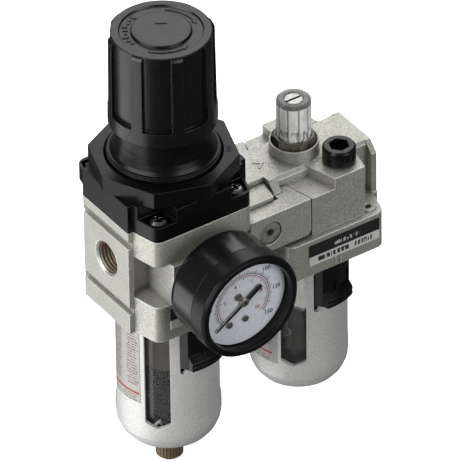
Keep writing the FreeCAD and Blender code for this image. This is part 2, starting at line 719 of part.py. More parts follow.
def make_drain_cock():
    foot = size("drain_foot")
    body = turned_body("drain_cock", [
        (1.1, foot), (size("drain_r") - 1.0, foot), (size("drain_r"), foot + 1.0),
        (size("drain_r"), -93.2), (4.4, -92.7), (3.1, -92.7), (3.1, -89.9), (2.2, -89.9), (2.2, -88.2),
        (3.1, -88.2), (3.1, -85.0), (1.1, -85.0)], V(AX, 0, 0))
    knurl = new_sketch(body, "XY_Plane", foot)
    r = size("drain_r")
    for number in range(24):
        t = math.radians(15.0 * number)
        a, b = math.cos(t), math.sin(t)
        draw_polygon(knurl, [(away * a - half * b, away * b + half * a)
                             for away, half in ((r - 0.4, 0.0), (r + 0.3, 0.4), (r + 0.3, -0.4))])
    cut(body, knurl, 10.4, reverse=True)
    return body


# ---------------------------------------------------------------- gauge
def gauge_turned(label, profile):
    """Body turned about the gauge axis; profile corners are (radius, depth towards -Y)."""
    body = new_body(label, V(AX, 0, size("gauge_z")))
    sketch = new_sketch(body, "XY_Plane")
    draw_polygon(sketch, profile)
    turn(body, sketch, "V_Axis")
    return body


def make_gauge_case():
    back = size("case_back")
    r = size("case_r")
    front = size("bezel_back") + 0.05
    return gauge_turned("gauge_case", [
        (5.2, back), (r - 1.6, back), (r - 0.2, back - 1.4), (r, back - 3.0), (r, front), (r - 1.6, front),
        (r - 1.6, back - 2.4), (5.2, back - 1.4)])


def make_gauge_bezel():
    r = size("gauge_r")
    front = size("gauge_front")
    back = size("bezel_back")
    bore = size("window_r")
    return gauge_turned("gauge_bezel", [
        (r - 1.5, back), (r - 0.3, back), (r, back - 0.6), (r, front + 1.2), (r - 0.9, front),
        (bore + 0.5, front), (bore, front + 1.9), (19.3, front + 1.9), (19.3, back)])


def make_gauge_lens():
    front = size("gauge_front") + 1.95
    return gauge_turned("gauge_lens", [(0, front), (19.2, front), (19.2, front + 1.0), (0, front + 1.0)])


def make_gauge_dial():
    face = size("dial_y")
    return gauge_turned("gauge_dial", [(1.3, face), (18.7, face), (18.7, face + 0.8), (1.3, face + 0.8)])


def make_gauge_socket():
    """Brass connection: thread, hexagon and the block that holds the Bourdon tube."""
    body = gauge_turned("gauge_socket", [
        (1.2, -14.2), (4.5, -14.2), (4.5, -29.3), (6.4, -29.3), (6.4, -32.6), (5.1, -32.6),
        (5.1, -38.0), (1.2, -38.0)])
    block = new_sketch(body, "XZ_Plane", 38.0)
    draw_polygon(block, [(-4.2, -15.5), (4.2, -15.5), (4.2, 5.2), (-4.2, 5.2)])
    pad(body, block, 5.0)
    return body


def make_bourdon_tube():
    """Curved pressure tube: most of a circle behind the dial."""
    mean = 13.6
    depth = 40.5
    arc = Part.Arc(V(-3.4, -depth, -13.2), V(-mean, -depth, 0), V(9.0, -depth, 10.2))
    start = arc.value(arc.FirstParameter)
    along = arc.tangent(arc.FirstParameter)[0]
    tube_shape = Part.Wire([arc.toShape()]).makePipeShell(
        [Part.Wire([Part.makeCircle(1.2, start, along)])], True, True)
    link = Part.makeCylinder(0.5, 9.5, V(9.0, -depth, 10.2), V(-9.0, 0, -10.2))
    piece = tube_shape.fuse(link)
    piece.translate(V(AX, 0, size("gauge_z")))
    return from_shape("bourdon_tube", piece)


def make_dial_screws():
    face = size("dial_y")
    spots = ((-2.3, 2.9, 1.5), (-6.4, -8.4, 1.3), (0.75, -8.2, 1.3))
    heads = [Part.makeCylinder(r, 0.7, V(AX + a, face - 0.02, size("gauge_z") + b), V(0, -1, 0))
             for a, b, r in spots]
    return from_shape("dial_screws", Part.makeCompound(heads))


def make_gauge_pointer():
    """Thin hand reading zero at lower left, broad tail, hub and shaft through the dial."""
    face = size("dial_y")
    body = gauge_turned("gauge_pointer", [
        (0, face - 1.8), (1.5, face - 1.8), (1.9, face - 1.4), (1.9, face - 0.9), (1.2, face - 0.9),
        (1.2, face + 4.2), (0, face + 4.2)])
    hand = new_sketch(body, "XZ_Plane", 1.0 - face)
    zero = math.radians(214.0)
    c, d = math.cos(zero), math.sin(zero)
    outline = [(15.2, 0.14), (15.2, -0.14), (1.0, -0.5), (-1.0, -0.85), (-9.0, -0.85), (-9.0, 0.85),
               (-1.0, 0.85), (1.0, 0.5)]
    draw_polygon(hand, [(a * c - b * d, a * d + b * c) for a, b in outline])
    pad(body, hand, 0.5)
    return body


# ---------------------------------------------------------------- spacer and clamps
def make_spacer():
    """Bored block between the units; lugs at front and back reach over the lubricator's plate."""
    body = new_body("spacer")
    left = size("unit_width") + 0.02
    right = size("unit_width") + size("spacer_width") - 0.02
    plan = new_sketch(body, "XY_Plane", -12.0)
    draw_polygon(plan, [(left, -17.1), (right, -17.1), (right, 17.1), (left, 17.1)])
    pad(body, plan, 12.0 + size("deck_z"))
    steps = new_sketch(body, "XY_Plane", size("deck_z"))
    lugs = new_sketch(body, "XY_Plane", 9.9)
    for side in (-1, 1):
        draw_polygon(steps, [(left - 1, side * 7.4), (right + 1, side * 7.4), (right + 1, side * 18),
                             (left - 1, side * 18)])
        draw_polygon(lugs, [(left + 0.5, side * 7.7), (65.9, side * 7.7), (64.0, side * 17.1),
                            (left + 0.5, side * 17.1)])
    cut(body, steps, size("deck_z") - size("lug_top"))
    pad(body, lugs, size("lug_top") - 9.9)
    bore = new_sketch(body, "YZ_Plane", left - 1)
    draw_circle(bore, 0, 0, size("air_bore_r"))
    cut(body, bore, 10.0, reverse=True)
    for wall, way in ((left, True), (right, False)):
        seat = new_sketch(body, "YZ_Plane", wall)
        draw_circle(seat, 0, 0, 8.3)
        cut(body, seat, 1.0, reverse=way)
    for side in (-1, 1):
        hole = new_sketch(body, "XZ_Plane", -side * 17.1)
        draw_circle(hole, size("clamp_screw_x"), size("clamp_screw_z"), 1.6)
        cut(body, hole, 8.0, reverse=(side > 0))
    return body


def make_spacer_seals():
    left = size("unit_width") + 0.02
    right = left + size("spacer_width") - 0.04
    rings = []
    for start in (left + 0.05, right - 0.95):
        outer = Part.makeCylinder(8.2, 0.9, V(start, 0, 0), V(1, 0, 0))
        rings.append(outer.cut(Part.makeCylinder(6.3, 0.9, V(start, 0, 0), V(1, 0, 0))))
    return from_shape("spacer_seals", Part.makeCompound(rings))


def head_room(side):
    return 4.4 if side < 0 else 2.2


def clamp_reach(side):
    return size("clamp_front") if side < 0 else size("clamp_back")


def make_clamp(label, side):
    """Hooked clamp block; side is -1 at the front and +1 at the back."""
    body = new_body(label)
    low = size("clamp_bottom")
    high = size("clamp_top")
    front = side * clamp_reach(side)
    left = size("clamp_left") + (0.0 if side < 0 else 0.5)
    plan = new_sketch(body, "XY_Plane", low)
    draw_polygon(plan, [(left, front), (76.2, front), (73.1, side * 11.5), (70.0, side * 11.5),
                        (70.0, side * 14.9), (66.2, side * 14.9), (66.2, side * 17.2),
                        (left + 1.8, side * 17.2)])
    pad(body, plan, high - low, "[clamp_top] - [clamp_bottom]")
    round_edges(body, 2.6, lambda p, e: abs(p.z - low) < 0.05 and p.x > 73.0
                and abs(e.tangentAt(e.FirstParameter).y) > 0.8)
    head = new_sketch(body, "XZ_Plane", -front)
    draw_circle(head, size("clamp_screw_x"), size("clamp_screw_z"), 5.0)
    cut(body, head, head_room(side), reverse=(side > 0))
    shank = new_sketch(body, "XZ_Plane", -front)
    draw_circle(shank, size("clamp_screw_x"), size("clamp_screw_z"), 1.7)
    cut(body, shank, 9.0, reverse=(side > 0))
    return body


def socket_screw(side):
    x = size("clamp_screw_x")
    z = size("clamp_screw_z")
    room = head_room(side)
    seat = side * (clamp_reach(side) - room)
    outward = V(0, side, 0)
    head = Part.makeCylinder(4.6, room - 0.4, V(x, seat, z), outward)
    shank = Part.makeCylinder(1.55, abs(seat) - 9.8, V(x, seat, z), outward * -1)
    key = prism(regular(6, 1.9, 0, 0, 0), 0, 3.0)
    key.rotate(V(0, 0, 0), V(1, 0, 0), -90 * side)
    key.translate(V(x, seat + side * 0.35 * room, z))
    return head.fuse(shank).cut(key)


def make_clamp_screws():
    return from_shape("clamp_screws", Part.makeCompound([socket_screw(-1), socket_screw(1)]))


# ---------------------------------------------------------------- lubricator body
def make_lubricator_body():
    body = new_body("lubricator_body")
    start = size("unit_width") + size("spacer_width")
    end = start + size("unit_width")
    low = size("collar_bottom")
    deck = size("deck_z")
    half = size("lub_half")
    plate = size("lub_plate_half")
    proud = size("plate_proud")
    # lower collar, same plan as the regulator's
    plan = new_sketch(body, "XY_Plane", low)
    draw_polygon(plan, unit_outline(start))
    pad(body, plan, size("collar_top") - low, "[collar_top] - [collar_bottom]")
    round_edges(body, size("corner_round"), lambda p, e: upright(e) and outer_corner(p, start))
    # core between the two port plates, plates chamfered along their upper corners
    core = new_sketch(body, "YZ_Plane", start)
    c = size("plate_chamfer")
    section = [(-plate, -12.0), (plate, -12.0), (plate, deck - c), (plate - c, deck), (c - plate, deck),
               (-plate, deck - c)]
    draw_polygon(core, section)
    pad(body, core, 9.6)
    core = new_sketch(body, "YZ_Plane", start + 9.0)
    draw_polygon(core, [(-half, -12.0), (half, -12.0), (half, deck - 1.4), (half - 1.4, deck),
                        (1.4 - half, deck), (-half, deck - 1.4)])
    pad(body, core, end - start - 9.0 - proud + 0.2)
    core = new_sketch(body, "YZ_Plane", end - proud)
    draw_polygon(core, section)
    pad(body, core, proud)
    # step under the spacer's lugs
    notch = new_sketch(body, "XY_Plane", deck)
    for side in (-1, 1):
        near, far = side * 7.3, side * 18
        draw_polygon(notch, [(start - 1, near), (66.3, near), (66.3, far), (start - 1, far)])
    cut(body, notch, deck - 9.7)
    # plug block and ledge in front, matching block behind
    block = new_sketch(body, "XY_Plane", size("collar_top") - 1)
    draw_polygon(block, [(83.3, -half + 1), (104.2, -half + 1), (101.0, -24.0), (87.4, -24.0)])
    draw_polygon(block, [(84.7, half - 1), (103.0, half - 1), (101.0, 20.2), (84.7, 20.2)])
    pad(body, block, deck - size("collar_top") + 1)
    ledge = new_sketch(body, "XY_Plane", size("collar_top") - 1)
    draw_polygon(ledge, [(73.5, -half + 1), (95.0, -half + 1), (95.0, -24.0), (76.9, -24.0)])
    draw_polygon(ledge, [(73.5, half - 1), (95.0, half - 1), (95.0, 20.4), (77.6, 20.4), (76.0, 19.4)])
    pad(body, ledge, size("ledge_z") - size("collar_top") + 1)
    # ring boss for the sight dome, screw bosses on the collar
    boss = new_sketch(body, "XY_Plane", deck - 1)
    draw_circle(boss, size("dome_x"), 0, size("boss_r"))
    pad(body, boss, size("boss_top") - deck + 1)
    ears = new_sketch(body, "XY_Plane", size("collar_top") - 0.5)
    for side in (-1, 1):
        draw_circle(ears, end - size("screw_in"), side * size("screw_half"), 3.0)
    pad(body, ears, 1.3)
    # raised flow chevron on the deck, two witness ribs on the collar's front
    chevron = new_sketch(body, "XY_Plane", deck - 0.2)
    draw_polygon(chevron, [(68.2, -2.4), (71.4, 0.0), (68.2, 2.4), (67.6, 1.8), (69.9, 0.0), (67.6, -1.8)])
    pad(body, chevron, 0.5)
    ribs = new_sketch(body, "XY_Plane", low + 0.6)
    for side in (-1, 1):
        x = LX + side * 1.2
        draw_polygon(ribs, [(x - 0.4, -27.1), (x + 0.4, -27.1), (x + 0.4, -26.0), (x - 0.4, -26.0)])
    pad(body, ribs, 3.6)
    # bowl room, air bore, threaded outlet
    room = new_sketch(body, "XY_Plane", low)
    draw_circle(room, LX, 0, size("lub_guard_r") + 0.4)
    cut(body, room, size("lub_bore_top") - low, reverse=True)
    bore = new_sketch(body, "YZ_Plane", start)
    draw_circle(bore, 0, 0, size("air_bore_r"))
    cut(body, bore, end - start - 10.0, reverse=True)
    cut_port(body, end, -1, size("port_depth"))
    # dome recess, drip hole, oil riser, fill hole and its cross passage, ear holes
    drill = (
        (size("dome_x"), 0.0, 8.9, size("boss_top"), 15.0),
        (size("dome_x"), 0.0, 2.3, 15.5, 0.0),
        (size("dome_x"), 8.0, 1.5, 15.5, size("lub_bore_top") - 1),
        (size("plug_x"), size("plug_y"), size("plug_hole_r"), deck, 0.0),
        (92.3, -9.6, 2.6, 3.0, size("lub_bore_top") - 1),
        (end - size("screw_in"), -size("screw_half"), 1.4, size("collar_top") + 0.8, size("collar_top") - 6),
        (end - size("screw_in"), size("screw_half"), 1.4, size("collar_top") + 0.8, size("collar_top") - 6),
    )
    for x, y, radius, top, foot in drill:
        hole = new_sketch(body, "XY_Plane", top)
        draw_circle(hole, x, y, radius)
        cut(body, hole, top - foot)
    return body


# ---------------------------------------------------------------- lubricator pieces
def make_dome_seat():
    body = new_body("dome_seat", V(size("dome_x"), 0, 0))
    plan = new_sketch(body, "XY_Plane", 15.1)
    draw_polygon(plan, regular(6, 8.6, 0, 0, 15))
    draw_circle(plan, 0, 0, 5.3)
    pad(body, plan, 7.0)
    seat = new_sketch(body, "XY_Plane", 22.1)
    draw_circle(seat, 0, 0, 6.9)
    cut(body, seat, 4.2)
    corners = new_sketch(body, "XZ_Plane")
    draw_polygon(corners, [(7.4, 22.2), (9.4, 22.2), (9.4, 20.4)])
    turn(body, corners, remove=True)
    return body


def make_sight_dome():
    r = size("dome_r")
    top = size("dome_top")
    body = turned_body("sight_dome", [
        (5.5, 18.2), (r, 18.2), (r, top - 0.8), (r - 0.8, top), (4.0, top), (3.5, top - 0.5), (3.5, 33.0),
        (5.0, 32.0), (5.5, 30.5)], V(size("dome_x"), 0, 0))
    # scalloped foot
    scallops = new_sketch(body, "XY_Plane", 18.2)
    for x, y in regular(6, r + 1.0, 0, 0, 15):
        draw_circle(scallops, x, y, 1.9)
    cut(body, scallops, 4.6, reverse=True)
    return body


def make_drip_adjust_screw():
    top = size("dome_top")
    body = turned_body("drip_adjust_screw", [
        (0, 28.6), (1.0, 29.6), (1.0, 33.4), (3.42, 33.4), (3.42, top - 0.5), (0, top - 0.5)],
        V(size("dome_x"), 0, 0))
    slot = new_sketch(body, "XY_Plane", top - 0.5)
    draw_polygon(slot, [(-3.6, -0.5), (3.6, -0.5), (3.6, 0.5), (-3.6, 0.5)])
    cut(body, slot, 1.3)
    return body


def make_drip_tube():
    return turned_body("drip_tube", [
        (0.9, 3.0), (2.2, 3.0), (2.2, 15.2), (3.6, 15.2), (3.6, 17.6), (2.0, 18.4), (1.7, 26.0), (1.2, 28.2),
        (0.5, 28.2), (0.5, 26.0), (0.9, 25.0)], V(size("dome_x"), 0, 0))


def make_oil_fill_plug():
    """Knurled-sided plug with a large hexagon socket."""
    body = turned_body("oil_fill_plug", [
        (0, 4.0), (3.8, 4.0), (4.5, 4.8), (4.5, 14.9), (size("plug_r"), 14.9), (size("plug_r"), 20.4),
        (size("plug_r") - 0.7, 21.2), (0, 21.2)], V(size("plug_x"), size("plug_y"), 0))
    socket = new_sketch(body, "XY_Plane", 21.2)
    draw_polygon(socket, regular(6, 4.1, 0, 0, 10))
    cut(body, socket, 5.0)
    notches = new_sketch(body, "XY_Plane", 16.2)
    for number in range(8):
        middle = 20.0 + 45.0 * number
        draw_polygon(notches, arc_band(size("plug_r") - 0.45, 8.0, middle - 9, middle + 9, 3))
    cut(body, notches, 3.0, reverse=True)
    return body


def make_flow_damper():
    body = new_body("flow_damper")
    plate = new_sketch(body, "YZ_Plane", 74.0)
    draw_circle(plate, 0, 0, 5.3)
    draw_circle(plate, 0, 0, 2.4)
    pad(body, plate, 0.8)
    flap = new_sketch(body, "YZ_Plane", 74.6)
    draw_polygon(flap, [(-2.0, -5.0), (2.0, -5.0), (2.0, 2.0), (-2.0, 2.0)])
    pad(body, flap, 0.6)
    return body


def make_check_ball():
    ball = doc.addObject("Part::Sphere", "check_ball")
    ball.Label = "check_ball"
    ball.Radius = 1.35
    ball.Placement.Base = V(size("dome_x"), 8.0, 9.0)
    return ball


def make_label(label, x0, x1, z0, z1, y):
    """Thin name-plate blank."""
    plate = doc.addObject("Part::Box", label)
    plate.Label = label
    plate.Length = x1 - x0
    plate.Width = 0.35
    plate.Height = z1 - z0
    plate.Placement.Base = V(x0, y - 0.36, z0)
    return plate


def make_sticker(label, x, guard_r, z0, z1, end):
    return from_shape(label, sector(guard_r + 0.2, guard_r + 0.03, z0, z1, 163.0, end, x))


# ---------------------------------------------------------------- build every piece
def build():
    foot = size("body_bottom")
    lub_foot = size("collar_bottom")
    guard = size("guard_r")
    lub_guard = size("lub_guard_r")
    pieces = [
        make_regulator_body(), make_bonnet(), make_bonnet_screws(), make_panel_nut(), make_knob(),
        make_adjusting_screw(), make_spring_nut(), make_main_spring(), make_diaphragm(),
        make_diaphragm_plate(), make_valve_poppet(), make_valve_spring(), make_valve_guide(),
        make_deflector(), make_filter_element(), make_baffle(),
        make_bowl("filter_bowl", AX, guard, size("guard_foot"), -14.2, 3.2),
        make_guard("filter_bowl_guard", AX, guard, -12.4, size("guard_foot"), 6.0, foot,
                   FILTER_FACING, -77.4),
        ring_piece("filter_bowl_seal", 17.8, 15.6, -14.1, -12.1, AX),
        make_button("filter_lock_button", AX, guard, foot, FILTER_FACING),
        make_button_spring("filter_button_spring", AX, guard, foot, FILTER_FACING),
        make_drain_cock(),
        ring_piece("drain_seal", 3.12, 2.25, -89.8, -88.3, AX),
        make_sticker("filter_sticker", AX, guard, -66.5, -30.0, 205.0),
        make_label("regulator_label", 10.5, 42.5, -21.4, -12.1, -size("corner_half")),
        make_gauge_case(), make_gauge_bezel(), make_gauge_lens(), make_gauge_dial(),
        make_gauge_socket(), make_bourdon_tube(), make_dial_screws(), make_gauge_pointer(),
        make_spacer(), make_spacer_seals(), make_clamp("front_clamp", -1), make_clamp("rear_clamp", 1),
        make_clamp_screws(), make_lubricator_body(), make_dome_seat(), make_sight_dome(),
        ring_piece("dome_seal", 6.5, 5.55, 17.93, 18.17, size("dome_x")),
        make_drip_adjust_screw(), make_drip_tube(), make_oil_fill_plug(),
        ring_piece("fill_plug_seal", 6.0, 4.65, 14.05, 14.85, size("plug_x"), size("plug_y")),
        make_flow_damper(), make_check_ball(),
        ring_piece("siphon_tube", 1.3, 0.7, -77.4, -6.0, size("dome_x"), 8.0),
        ring_piece("siphon_filter", 3.0, 1.35, -82.0, -76.4, size("dome_x"), 8.0),
        make_bowl("lubricator_bowl", LX, lub_guard, size("lub_guard_foot"), -12.8, 0.0),
        make_guard("lubricator_bowl_guard", LX, lub_guard, -11.0, size("lub_guard_foot"), 1.5, lub_foot,
                   LUBRICATOR_FACING, -74.8),
        ring_piece("lubricator_bowl_seal", 16.7, 14.6, -12.7, -10.6, LX),
        make_button("lubricator_lock_button", LX, lub_guard, lub_foot, LUBRICATOR_FACING),
        make_button_spring("lubricator_button_spring", LX, lub_guard, lub_foot, LUBRICATOR_FACING),
        make_sticker("lubricator_sticker", LX, lub_guard, -74.4, -28.0, 211.0),
        make_label("lubricator_label", 73.4, 105.4, -19.4, -10.1, -size("corner_half")),
    ]
    return pieces


pieces = build()
doc.recompute()
for obj in doc.Objects:
    if "Invalid" in obj.State or "Error" in obj.State:
        raise RuntimeError("failed: " + obj.Label)
for piece in pieces:
    shape = piece.Shape
    if shape.isNull() or not shape.isValid():
        raise RuntimeError("bad shape: " + piece.Label)
    shape.exportStep("parts/%s.step" % piece.Label)
print("pieces", len(pieces))
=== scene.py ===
"""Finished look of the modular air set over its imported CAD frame. Metres, in the CAD's own axes."""

import json
import math
import bpy
from mathutils import Matrix, Vector

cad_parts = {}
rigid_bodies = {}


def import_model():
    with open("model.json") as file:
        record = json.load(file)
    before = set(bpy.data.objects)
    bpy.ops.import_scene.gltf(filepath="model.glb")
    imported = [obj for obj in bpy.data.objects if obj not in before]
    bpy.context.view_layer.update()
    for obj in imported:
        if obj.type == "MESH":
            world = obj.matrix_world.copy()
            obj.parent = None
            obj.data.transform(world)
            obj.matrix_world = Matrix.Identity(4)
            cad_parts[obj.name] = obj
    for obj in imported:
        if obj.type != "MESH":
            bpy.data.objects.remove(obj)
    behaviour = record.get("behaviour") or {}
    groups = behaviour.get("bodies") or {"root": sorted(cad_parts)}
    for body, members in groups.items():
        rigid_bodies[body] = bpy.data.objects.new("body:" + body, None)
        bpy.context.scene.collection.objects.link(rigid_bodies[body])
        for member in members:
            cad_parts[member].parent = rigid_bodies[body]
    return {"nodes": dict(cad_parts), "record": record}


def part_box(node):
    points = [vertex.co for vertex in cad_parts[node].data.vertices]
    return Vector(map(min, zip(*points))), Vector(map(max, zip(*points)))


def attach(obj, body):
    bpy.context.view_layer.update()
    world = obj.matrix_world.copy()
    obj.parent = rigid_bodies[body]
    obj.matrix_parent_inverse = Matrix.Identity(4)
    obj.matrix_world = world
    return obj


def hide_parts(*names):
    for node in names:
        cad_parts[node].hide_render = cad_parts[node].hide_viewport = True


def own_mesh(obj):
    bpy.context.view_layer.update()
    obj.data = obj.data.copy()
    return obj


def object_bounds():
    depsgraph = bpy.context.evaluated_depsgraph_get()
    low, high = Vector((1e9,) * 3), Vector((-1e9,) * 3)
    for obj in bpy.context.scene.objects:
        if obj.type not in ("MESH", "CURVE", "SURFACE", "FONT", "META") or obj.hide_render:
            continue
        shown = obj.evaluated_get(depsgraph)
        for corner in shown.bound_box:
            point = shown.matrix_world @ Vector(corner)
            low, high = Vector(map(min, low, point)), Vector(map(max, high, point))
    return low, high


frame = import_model()
cad_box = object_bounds()
nodes = frame["nodes"]
MM = 0.001


def middle(node):
    low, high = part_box(node)
    return (low + high) / 2


def add_object(name, data):
    made = bpy.data.objects.new(name, data)
    bpy.context.scene.collection.objects.link(made)
    return made


# ---------------------------------------------------------------- camera
AZIMUTH = math.radians(-33.956)
ELEVATION = math.radians(36.779)
ROLL = math.radians(-0.826)
DISTANCE = 3.4519
LENS = 720.27
TARGET = Vector((0.044812, -0.017757, 0.004926))
FRAMING_RIGHT = -0.474 * MM
FRAMING_UP = -0.56 * MM


def make_camera():
    """Long lens on the side and height from which the object is pictured."""
    back = Vector((math.sin(AZIMUTH) * math.cos(ELEVATION), -math.cos(AZIMUTH) * math.cos(ELEVATION),
                   math.sin(ELEVATION)))
    right = Vector((math.cos(AZIMUTH), math.sin(AZIMUTH), 0.0))
    up = back.cross(right)
    side = right * math.cos(ROLL) + up * math.sin(ROLL)
    top = -right * math.sin(ROLL) + up * math.cos(ROLL)
    data = bpy.data.cameras.new("camera")
    data.lens = LENS
    data.sensor_width = 36.0
    data.clip_start = 0.1
    data.clip_end = 30.0
    camera = add_object("camera", data)
    spot = TARGET + side * FRAMING_RIGHT + top * FRAMING_UP + back * DISTANCE
    camera.matrix_world = Matrix((
        (side.x, top.x, back.x, spot.x), (side.y, top.y, back.y, spot.y),
        (side.z, top.z, back.z, spot.z), (0, 0, 0, 1)))
    bpy.context.scene.camera = camera


# ---------------------------------------------------------------- light and floor
FLOOR_SIZE = 12.0
FLOOR_GLOW = 0.7
SURROUND = 0.08
# name, place, width and height, power in watts
LIGHTS = (
    ("key_left", (-1.3, -0.1, 0.6), (1.4, 1.2), 25),
    ("overhead", (0.4, 0.6, 1.1), (1.6, 1.6), 18),
    ("low_left", (-0.95, 0.55, -0.8), (1.0, 1.5), 9),
    ("left_strip", (-1.2, -0.15, -0.55), (0.5, 1.0), 3),
    ("front_fill", (0.35, -1.25, 0.4), (0.9, 0.9), 9),
)


def area_light(name, place, size, power):
    data = bpy.data.lights.new(name, "AREA")
    data.shape = "RECTANGLE"
    data.size, data.size_y = size
    data.energy = power
    light = add_object(name, data)
    light.location = place
    light.rotation_euler = (TARGET - Vector(place)).to_track_quat("-Z", "Y").to_euler()


def make_floor():
    """Pale floor under the set; it neither lights the set nor shows in its gloss."""
    bpy.ops.mesh.primitive_plane_add(size=FLOOR_SIZE, location=(0.05, 0.0, cad_box[0][2] - 0.5 * MM))
    floor = bpy.context.object
    floor.name = "floor"
    floor.visible_diffuse = False
    floor.visible_glossy = False
    floor.visible_shadow = False
    look = Look("floor_pale", (0.92, 0.92, 0.92), 0.0, 0.9)
    look.shader.inputs["Emission Color"].default_value = (1, 1, 1, 1)
    look.shader.inputs["Emission Strength"].default_value = FLOOR_GLOW
    floor.data.materials.append(look.material)


def make_studio():
    """Weak even surround, large soft lights from the left, above and the front."""
    make_floor()
    world = bpy.data.worlds.new("studio")
    bpy.context.scene.world = world
    world.use_nodes = True
    world.node_tree.nodes["Background"].inputs["Color"].default_value = (1, 1, 1, 1)
    world.node_tree.nodes["Background"].inputs["Strength"].default_value = SURROUND
    for name, place, size, power in LIGHTS:
        area_light(name, place, size, power)
    bpy.context.scene.view_settings.view_transform = "Standard"


# ---------------------------------------------------------------- material builder
class Look:
    """One procedural material: a Principled shader and the few nodes that feed it."""

    def __init__(self, name, color, metallic, rough, **sockets):
        self.material = bpy.data.materials.new(name)
        self.material.use_nodes = True
        self.tree = self.material.node_tree
        self.shader = self.tree.nodes["Principled BSDF"]
        self.shader.inputs["Base Color"].default_value = (*color, 1)
        self.shader.inputs["Metallic"].default_value = metallic
        self.shader.inputs["Roughness"].default_value = rough
        for socket, value in sockets.items():
            self.shader.inputs[socket.replace("_", " ")].default_value = value
        self.coords = None

    def node(self, kind, **settings):
        made = self.tree.nodes.new("ShaderNode" + kind)
        for key, value in settings.items():
            setattr(made, key, value)
        return made

    def link(self, source, target):
        self.tree.links.new(source, target)

    def feed(self, socket, value):
        """A number, a colour or another node's output goes into a socket."""
        if isinstance(value, tuple):
            socket.default_value = (*value, 1)
        elif isinstance(value, (int, float)):
            socket.default_value = value
        else:
            self.link(value, socket)

    def set(self, socket, source):
        self.link(source, self.shader.inputs[socket])

    # places on the object
    def place(self):
        """Position on the object, in metres."""
        if self.coords is None:
            self.coords = self.node("TexCoord").outputs["Object"]
        return self.coords

    def axes(self):
        parts = self.node("SeparateXYZ")
        self.link(self.place(), parts.inputs[0])
        return parts.outputs["X"], parts.outputs["Y"], parts.outputs["Z"]

    def share(self, value, start, end):
        """0 at start and 1 at end."""
        made = self.node("MapRange")
        made.inputs["From Min"].default_value = start
        made.inputs["From Max"].default_value = end
        self.link(value, made.inputs["Value"])
        return made.outputs["Result"]

    # arithmetic
    def math(self, operation, first, second=None):
        made = self.node("Math", operation=operation)
        self.feed(made.inputs[0], first)
        if second is not None:
            self.feed(made.inputs[1], second)
        return made.outputs[0]

    def times(self, first, *others):
        for other in others:
            first = self.math("MULTIPLY", first, other)
        return first

    def above(self, value, limit):
        return self.math("GREATER_THAN", value, limit)

    def below(self, value, limit):
        return self.math("LESS_THAN", value, limit)

    def between(self, value, start, end):
        return self.times(self.above(value, start), self.below(value, end))

    def distance(self, first, second):
        squares = self.math("ADD", self.math("POWER", first, 2.0), self.math("POWER", second, 2.0))
        return self.math("SQRT", squares)

    # patterns and colours
    def noise(self, scale, detail=3.0, rough=0.5, stretch=None):
        made = self.node("TexNoise")
        made.inputs["Scale"].default_value = scale
        made.inputs["Detail"].default_value = detail
        made.inputs["Roughness"].default_value = rough
        source = self.place()
        if stretch:
            mapping = self.node("Mapping")
            mapping.inputs["Scale"].default_value = stretch
            self.link(source, mapping.inputs["Vector"])
            source = mapping.outputs["Vector"]
        self.link(source, made.inputs["Vector"])
        return made.outputs["Fac"]

    def ramp(self, source, *stops):
        """Colour ramp from (position, colour) stops."""
        made = self.node("ValToRGB")
        band = made.color_ramp.elements
        while len(band) < len(stops):
            band.new(0.5)
        for element, (position, color) in zip(band, stops):
            element.position = position
            element.color = (*color, 1)
        self.link(source, made.inputs["Fac"])
        return made.outputs["Color"]

    def mottle(self, scale, detail, low, high):
        """Noise between two colours, each given with its place on the noise."""
        return self.ramp(self.noise(scale, detail), low, high)

    def mix(self, factor, first, second, blend_type="MIX"):
        made = self.node("Mix", data_type="RGBA", blend_type=blend_type)
        for key, value in ((0, factor), (6, first), (7, second)):
            self.feed(made.inputs[key], value)
        return made.outputs[2]

    # surface
    def rounded(self, radius):
        """Normal that softens sharp edges."""
        made = self.node("Bevel", samples=4)
        made.inputs["Radius"].default_value = radius
        return made.outputs["Normal"]

    def edge(self, normal, wide=0.25):
        """1 on sharp edges and 0 on flat faces, from a rounded normal."""
        product = self.node("VectorMath", operation="DOT_PRODUCT")
        self.link(normal, product.inputs[0])
        self.link(self.node("NewGeometry").outputs["Normal"], product.inputs[1])
        return self.share(self.math("SUBTRACT", 1.0, product.outputs["Value"]), 0.0, wide)

    def hollow(self, reach):
        """1 on open surfaces, falling towards 0 in creases."""
        made = self.node("AmbientOcclusion", samples=4)
        made.inputs["Distance"].default_value = reach
        return made.outputs["AO"]

    def bump(self, height, distance, strength, normal=None):
        made = self.node("Bump")
        made.inputs["Distance"].default_value = distance
        made.inputs["Strength"].default_value = strength
        self.link(height, made.inputs["Height"])
        if normal is not None:
            self.link(normal, made.inputs["Normal"])
        self.set("Normal", made.outputs["Normal"])

    def wear(self, low, high, scale):
        """Roughness that wanders between two values."""
        made = self.node("MapRange")
        made.inputs["To Min"].default_value = low
        made.inputs["To Max"].default_value = high
        self.link(self.noise(scale), made.inputs["Value"])
        self.set("Roughness", made.outputs["Result"])


# ---------------------------------------------------------------- metals
BLACK = (0.0, 0.0, 0.0)
WHITE = (1.0, 1.0, 1.0)
PORT_RADIUS = 7.1 * MM
PORT_DEPTH = 20 * MM
PORT_MOUTH = 0.9 * MM


def port_threads(look):
    """Where the inlet and outlet threads are, and how deep in their grooves a point is, to set the painted
    shade in the grooves.
    """
    x, y, z = look.axes()
    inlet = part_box("regulator_body")[0].x
    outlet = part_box("lubricator_body")[1].x
    away = look.distance(y, z)
    near_inlet = look.between(x, inlet + PORT_MOUTH, inlet + PORT_DEPTH)
    near_outlet = look.between(x, outlet - PORT_DEPTH, outlet - PORT_MOUTH)
    groove_shade_mask = look.ramp(look.times(away, 1 / PORT_RADIUS), (0.835, BLACK), (0.875, WHITE))
    threads = look.times(look.below(away, PORT_RADIUS), look.math("MAXIMUM", near_inlet, near_outlet))
    return threads, groove_shade_mask


